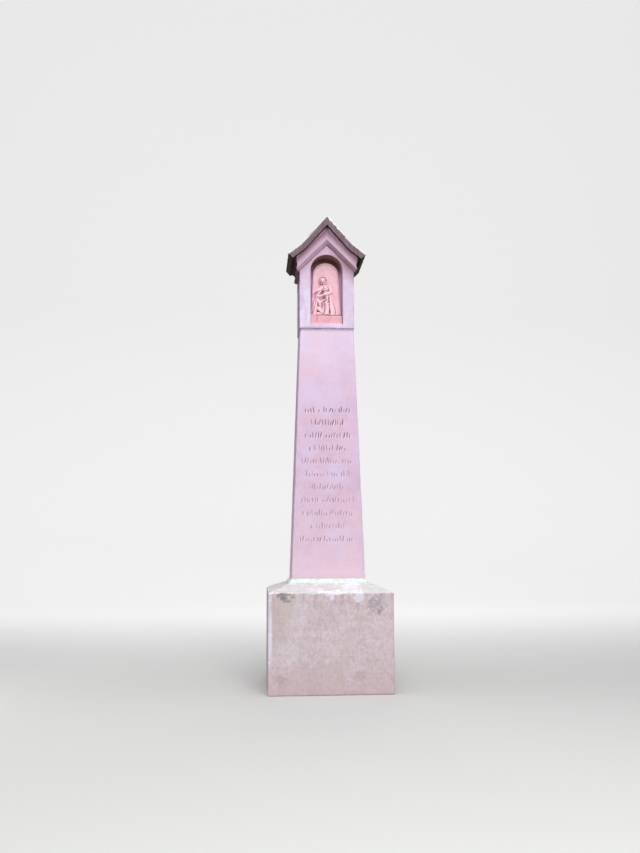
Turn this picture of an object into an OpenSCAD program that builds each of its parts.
// Sandstone wayside pillar with a shrine head.
// Square plinth, tapering shaft, and a gabled head with a round-arched niche,
// a coved raking moulding, a bell-cast saddle roof and a relief in the niche.
// Millimetres. The origin is the centre of the plinth's base at ground level.
// +Z is up and the niche opens towards -Y.

/* [Plinth] */
// Width of the plinth across the front
plinth_w = 558; // [480:1:640]
// Depth of the plinth from front to back
plinth_d = 572; // [480:1:640]
// Height of the plinth's upright faces
plinth_h = 443; // [300:1:600]
// Rise of the weathered top from its arris to the shaft's seat
plinth_rise = 39; // [20:1:80]

/* [Shaft] */
// Width of the shaft at its foot
foot_w = 340; // [290:1:380]
// Depth of the shaft at its foot
foot_d = 276; // [245:1:330]
// Width of the shaft at its top
top_w = 256; // [230:1:285]
// Depth of the shaft at its top
top_d = 232; // [210:1:260]
// Height of the shaft
shaft_h = 1178; // [900:1:1500]

/* [Mortar] */
// Thickness of the mortar bed under the shaft
bed_t = 8; // [4:1:15]
// How far the mortar fillet reaches out from the shaft's foot
fillet_out = 15; // [8:1:25]
// How far the mortar fillet climbs the shaft above its foot
fillet_up = 7; // [3:1:15]
// Thickness of the joint under the head
joint_t = 5; // [3:1:10]
// How far that joint lies back from the faces
joint_recess = 3; // [1:1:8]

/* [Head] */
// Width of the head's body
head_w = 262; // [240:1:300]
// Depth of the head's body
head_d = 236; // [215:1:280]
// Height of the body's upright sides
side_h = 280; // [265:1:330]
// Pitch of the body's gable in degrees
gable_pitch = 45; // [42:1:47]

/* [Niche] */
// Width of the niche
niche_w = 155; // [150:1:175]
// Height of the sill above the head's foot
sill_h = 22; // [12:1:30]
// Height of the niche's upright sides, from sill to springing
niche_rise = 262; // [240:1:275]
// Depth of the niche
niche_depth = 98; // [88:1:115]

/* [Gable moulding] */
// Projection of the moulding's lower arris from the front and back faces
mould_out = 15; // [10:1:22]
// Projection of the moulding's lower arris from the sides
mould_side = 16; // [12:1:22]
// Depth of the splay under the moulding, square to the slope
splay = 18; // [8:1:22]
// Upright height of the moulding's face at the apex
mould_h = 59; // [52:1:75]
// Upright width of the plain band over the lower arris
band_h = 2; // [1:1:6]
// Radius of the cove between that band and the roof
cove_r = 28; // [20:1:29]
// Angle through which the cove sinks in before it turns out
cove_dip = 36; // [10:1:38]
// Angle to which the cove turns out under the roof
cove_lift = 60; // [30:1:62]

/* [Roof] */
// Pitch of the upper slopes in degrees
roof_pitch = 49; // [46:1:52]
// Pitch of the slopes at the eaves in degrees
eave_pitch = 37; // [30:0.5:40]
// Run of the flared part, from the eaves inwards
flare_run = 70; // [60:1:85]
// Radius of the bend between the two slopes
flare_r = 150; // [80:1:200]
// Thickness of the roof, square to its slope
roof_t = 34; // [24:1:40]
// Slant of the eaves' end faces from plumb, in degrees
eave_cut = 45; // [30:1:50]
// Overhang of the eaves beyond the body's sides
eave_over = 57; // [45:1:75]
// Overhang of the verges beyond the front and back faces
verge_over = 40; // [28:1:60]

/* [Relief] */
// Thickness of the relief's back panel
panel_t = 32; // [26:1:40]
// Gap beside the relief at the sill
relief_gap = 1; // [0.5:0.5:2]
// Width of the panel where its round head springs
panel_top_w = 124; // [112:1:136]
// Gap between the crowns of the panel and of the niche
crown_gap = 22; // [12:1:30]
// Height of the ledge under the figures
ledge_h = 52; // [35:1:65]
// Projection of the ledge from the panel
ledge_out = 34; // [32:1:44]
// Bevel along the ledge's upper arris
ledge_bevel = 4; // [2:1:8]
// Height of the standing figure
stand_h = 188; // [170:1:200]
// Projection of the standing figure from the panel
stand_out = 30; // [24:1:32]
// Height of the kneeling figure
kneel_h = 104; // [92:1:108]
// Projection of the kneeling figure from the panel
kneel_out = 31; // [24:1:32]
// Radius of the halo disc
halo_r = 22; // [16:1:24]

/* [Hidden] */

// Levels from the ground up
seat_z = plinth_h + plinth_rise;
foot_z = seat_z + bed_t;
top_z = foot_z + shaft_h;
head_z = top_z + joint_t;
sill_z = head_z + sill_h;
spring_z = sill_z + niche_rise;
eave_wall_z = head_z + side_h;
block_apex_z = eave_wall_z + head_w / 2 * tan(gable_pitch);
mould_apex_z = block_apex_z + splay / cos(gable_pitch);
soffit_apex_z = mould_apex_z + mould_h;
ridge_z = soffit_apex_z + roof_t / cos(roof_pitch);

// Distances from the middle
mould_x = head_w / 2 + mould_side;
eave_x = head_w / 2 + eave_over;
roof_d = head_d + 2 * verge_over;
niche_r = niche_w / 2;
niche_back_y = niche_depth - head_d / 2;
panel_y = niche_back_y - panel_t;
relief_r = niche_r - relief_gap;
ledge_z = sill_z + ledge_h;
panel_head_r = panel_top_w / 2;
panel_spring_z = spring_z + niche_r - crown_gap - panel_head_r;

// Steps in the bend of the roof and in the cove
flare_steps = 8;
cove_steps = 10;

// Facets round the figures' robes and heads, and round their limbs
robe_facets = 24;
limb_facets = 10;

// Rings of a robe or cloak from the hem up. Each has its height, its middle and half its
// width as shares of the figure's height, and its depth as a share of the projection.
stand_robe = [[-0.02, 0.08, 0.16, 0.93], [0.3, 0.065, 0.13, 0.9], [0.55, 0.032, 0.106, 0.83],
    [0.65, 0, 0.142, 0.88], [0.74, -0.022, 0.14, 0.84], [0.82, -0.055, 0.07, 0.55]];
stand_cloak = [[-0.02, 0.186, 0.13, 0.67], [0.33, 0.149, 0.096, 0.73], [0.65, 0.075, 0.08, 0.63],
    [0.79, 0.005, 0.05, 0.37]];
kneel_robe = [[-0.02, -0.44, 0.27, 0.92], [0.28, -0.42, 0.24, 0.9], [0.52, -0.43, 0.16, 0.86],
    [0.68, -0.41, 0.16, 0.74], [0.79, -0.4, 0.09, 0.55]];
kneel_mantle = [[-0.02, -0.567, 0.155, 0.8], [0.38, -0.53, 0.135, 0.85], [0.74, -0.47, 0.105, 0.68],
    [0.9, -0.425, 0.06, 0.4]];

// Joints of the arms and of a bent leg. Each has its place across, its height and its
// radius as shares of the figure's height, and its depth as a share of the projection.
stand_arm = [[-0.085, 0.734, 0.052, 0.55], [-0.155, 0.67, 0.05, 0.74],
    [-0.25, 0.638, 0.038, 0.8], [-0.33, 0.608, 0.02, 0.85]];
stand_low_arm = [[0.07, 0.73, 0.044, 0.55], [0.117, 0.6, 0.042, 0.8],
    [-0.035, 0.532, 0.034, 0.88], [-0.125, 0.506, 0.02, 0.9]];
kneel_arm = [[-0.4, 0.74, 0.075, 0.72], [-0.3, 0.575, 0.062, 0.86], [-0.2, 0.645, 0.042, 0.86],
    [-0.155, 0.73, 0.02, 0.86]];
kneel_leg = [[-0.46, 0.33, 0.12, 0.62], [-0.215, 0.13, 0.08, 0.76], [-0.58, 0.068, 0.066, 0.72]];

// Heads, with their places across, heights and radii as shares of the figures' heights
stand_head = [-0.08, 0.922, 0.066];
kneel_head = [-0.385, 0.9, 0.1];

stone = "#cdbbc1";
shaft_stone = "#dfc4dc";
head_stone = "#dfcce4";
roof_stone = "#83677a";
mortar = "#e4d8e0";
terracotta = "#e3b3b0";

// Frustum with a level rectangular base and top, standing on z = 0
module frustum(base_w, base_d, upper_w, upper_d, h) {
    corners = [[-1, -1], [1, -1], [1, 1], [-1, 1]];
    polyhedron(
        points = [
            for (c = corners) [c[0] * base_w / 2, c[1] * base_d / 2, 0],
            for (c = corners) [c[0] * upper_w / 2, c[1] * upper_d / 2, h]
        ],
        faces = [
            [0, 1, 2, 3], [7, 6, 5, 4],
            for (i = [0:3]) [i, i + 4, (i + 1) % 4 + 4, (i + 1) % 4]
        ]);
}

// Carries an outline drawn in x and z through the depth d, centred on y = 0
module through(d) {
    rotate([90, 0, 0]) translate([0, 0, -d / 2]) linear_extrude(d) children();
}

module plinth_shape() {
    translate([-plinth_w / 2, -plinth_d / 2, 0]) cube([plinth_w, plinth_d, plinth_h]);
    translate([0, 0, plinth_h]) frustum(plinth_w, plinth_d, foot_w, foot_d, plinth_rise);
}

module shaft_shape() {
    translate([0, 0, foot_z]) frustum(foot_w, foot_d, top_w, top_d, shaft_h);
}

module plinth() {
    color(stone) plinth_shape();
}

// Mortar bed that squeezes out round the shaft's foot into a sloping fillet
module shaft_bed() {
    reach = 2 * fillet_out;
    slope_x = plinth_rise / ((plinth_w - foot_w) / 2);
    slope_y = plinth_rise / ((plinth_d - foot_d) / 2);
    drop = fillet_out * max(slope_x, slope_y);
    rise = drop + bed_t + fillet_up;
    color(mortar) difference() {
        translate([0, 0, seat_z - drop])
            frustum(foot_w + reach, foot_d + reach, foot_w, foot_d, rise);
        plinth_shape();
        shaft_shape();
    }
}

module shaft() {
    color(shaft_stone) shaft_shape();
}

module head_joint() {
    w = min(top_w, head_w) - 2 * joint_recess;
    d = min(top_d, head_d) - 2 * joint_recess;
    color(mortar) translate([-w / 2, -d / 2, top_z]) cube([w, d, joint_t]);
}

// Upright outline with a round arch, its sill on z = 0, as the niche and panel have
module arch_outline(r, rise) {
    translate([-r, 0]) square([2 * r, rise]);
    translate([0, rise]) circle(r, $fn = 96);
}

module niche_block() {
    half = head_w / 2;
    color(head_stone) difference() {
        through(head_d) polygon([
            [-half, head_z], [half, head_z], [half, eave_wall_z],
            [0, block_apex_z], [-half, eave_wall_z]]);
        translate([0, niche_back_y - niche_depth, sill_z])
            through(2 * niche_depth) arch_outline(niche_r, niche_rise);
    }
}

// Right half of the roof's outline from the middle to the eave, at the depth n
// under the upper surface: a straight slope, a bend, and the flatter eave slope
function roof_line(n) =
    let (
        bend_x = eave_x - flare_run,
        bend_z = ridge_z - bend_x * tan(roof_pitch),
        cx = bend_x + flare_r * sin(roof_pitch),
        cz = bend_z + flare_r * cos(roof_pitch),
        end_x = cx - flare_r * sin(eave_pitch),
        end_z = cz - flare_r * cos(eave_pitch),
        eave_z = end_z - (eave_x - end_x) * tan(eave_pitch),
        cut = n / cos(eave_cut - eave_pitch))
    concat(
        [[0, ridge_z - n / cos(roof_pitch)]],
        [for (i = [0:flare_steps])
            let (a = roof_pitch + (eave_pitch - roof_pitch) * i / flare_steps)
            [cx - (flare_r + n) * sin(a), cz - (flare_r + n) * cos(a)]],
        [[eave_x - cut * sin(eave_cut), eave_z - cut * cos(eave_cut)]]);

function flipped(line) = [for (i = [len(line) - 1:-1:0]) [-line[i][0], line[i][1]]];
function reversed(line) = [for (i = [len(line) - 1:-1:0]) line[i]];

module roof() {
    top = roof_line(0);
    soffit = roof_line(roof_t);
    color(roof_stone) through(roof_d)
        polygon(concat(top, reversed(soffit), reversed(flipped(soffit)), flipped(top)));
}

// Face of the moulding from its lower arris up to the level h, from the middle out:
// a plain band, a cove that sinks in and then turns out, and an upright face over it.
// Levels are upright ones, and tall scales them.
function coved(arris, level, h, tall = 1) = concat(
    [[arris, level]],
    [for (i = [0:cove_steps])
        let (a = (cove_lift + cove_dip) * i / cove_steps - cove_dip)
        [arris + cove_r * (cos(cove_dip) - cos(a)),
            level + tall * (band_h + cove_r * (sin(cove_dip) + sin(a)))]],
    [[arris + cove_r * (cos(cove_dip) - cos(cove_lift)), h]]);

// One rake of the moulding: its splayed and coved profile runs down the slope, is mitred
// on the middle plane, and returns down the side over a square cut
module rake() {
    front = head_d / 2;
    run = (mould_x + mould_h) / cos(gable_pitch);
    face = coved(front + mould_out, 0, 2 * mould_h, cos(gable_pitch));
    cut_x = mould_x - splay * sin(gable_pitch);
    arris_z = mould_apex_z - mould_x * tan(gable_pitch);
    intersection() {
        translate([0, 0, mould_apex_z]) rotate([0, gable_pitch, 0]) translate([-mould_h, 0, 0])
            rotate([90, 0, 90]) linear_extrude(run + mould_h)
                polygon(concat([[-front, -splay], [front, -splay]], face, flipped(face)));
        through(head_d + 6 * mould_out) polygon(concat(
            [[0, block_apex_z], [cut_x, arris_z - splay * cos(gable_pitch)]],
            coved(mould_x, arris_z, ridge_z), [[0, ridge_z]]));
    }
}

module gable_moulding() {
    soffit = roof_line(roof_t);
    color(head_stone) difference() {
        union() {
            rake();
            mirror([1, 0, 0]) rake();
        }
        through(roof_d) polygon(concat(
            flipped(soffit), soffit, [[eave_x, 2 * ridge_z], [-eave_x, 2 * ridge_z]]));
    }
}

// Upright panel whose sides lean in from the sill to a round head
module relief_panel() {
    rise = panel_spring_z - sill_z;
    color(terracotta) translate([0, niche_back_y - panel_t / 2, sill_z]) through(panel_t) {
        polygon([[-relief_r, 0], [relief_r, 0], [panel_head_r, rise], [-panel_head_r, rise]]);
        translate([0, rise]) circle(panel_head_r, $fn = 96);
    }
}

module relief_ledge() {
    color(terracotta) translate([relief_r, panel_y, sill_z]) rotate([90, 0, -90])
        linear_extrude(2 * relief_r) polygon([
            [0, 0], [ledge_out, 0], [ledge_out, ledge_h - ledge_bevel],
            [ledge_out - ledge_bevel, ledge_h], [0, ledge_h]]);
}

// Keeps what stands in front of the panel, on the ledge
module in_front() {
    intersection() {
        children();
        translate([-relief_r, panel_y - ledge_out, ledge_z])
            cube([2 * relief_r, ledge_out, niche_rise]);
    }
}

// Robe of a figure h tall that stands out by d, through its level elliptical rings
module robe(rings, h, d) {
    n = robe_facets;
    last = len(rings) - 1;
    translate([0, panel_y, ledge_z]) polyhedron(
        points = [
            for (ring = rings) for (k = [0:n - 1])
                [(ring[1] + ring[2] * cos(360 * k / n)) * h, ring[3] * d * sin(360 * k / n),
                    ring[0] * h]],
        faces = concat(
            [[for (k = [0:n - 1]) k], [for (k = [n - 1:-1:0]) last * n + k]],
            [for (i = [0:last - 1]) for (k = [0:n - 1])
                [i * n + k, (i + 1) * n + k, (i + 1) * n + (k + 1) % n]],
            [for (i = [0:last - 1]) for (k = [0:n - 1])
                [i * n + k, (i + 1) * n + (k + 1) % n, i * n + (k + 1) % n]]));
}

// Limb of a figure h tall that stands out by d, through its rounded joints
module limb(joints, h, d) {
    for (i = [1:len(joints) - 1]) hull() {
        for (joint = [joints[i - 1], joints[i]])
            translate([joint[0] * h, panel_y - joint[3] * d, ledge_z + joint[1] * h])
                sphere(joint[2] * h, $fn = limb_facets);
    }
}

// Bowed head of a figure h tall, a little higher than wide
module head(place, h, d) {
    translate([place[0] * h, panel_y - d, ledge_z + place[1] * h])
        scale([1, 1, 1.15]) sphere(place[2] * h, $fn = robe_facets);
}

// Robed and cloaked figure that stoops to the left with one arm held out and the other
// held down, and with a halo behind its bowed head
module standing_figure() {
    halo_t = stand_out / 5;
    color(terracotta) in_front() union() {
        robe(stand_robe, stand_h, stand_out);
        robe(stand_cloak, stand_h, stand_out);
        limb(stand_arm, stand_h, stand_out);
        limb(stand_low_arm, stand_h, stand_out);
        head(stand_head, stand_h, stand_out / 2);
        translate([stand_head[0] * stand_h, panel_y, ledge_z + stand_head[1] * stand_h])
            rotate([90, 0, 0]) cylinder(h = halo_t, r = halo_r, $fn = 48);
    }
}

// Smaller robed and cloaked figure that kneels at the left with a bowed head and
// joined hands
module kneeling_figure() {
    color(terracotta) in_front() union() {
        robe(kneel_robe, kneel_h, kneel_out);
        robe(kneel_mantle, kneel_h, kneel_out);
        limb(kneel_arm, kneel_h, kneel_out);
        limb(kneel_leg, kneel_h, kneel_out);
        head(kneel_head, kneel_h, kneel_out / 2);
    }
}

plinth();
shaft_bed();
shaft();
head_joint();
niche_block();
gable_moulding();
roof();
relief_panel();
relief_ledge();
standing_figure();
kneeling_figure();
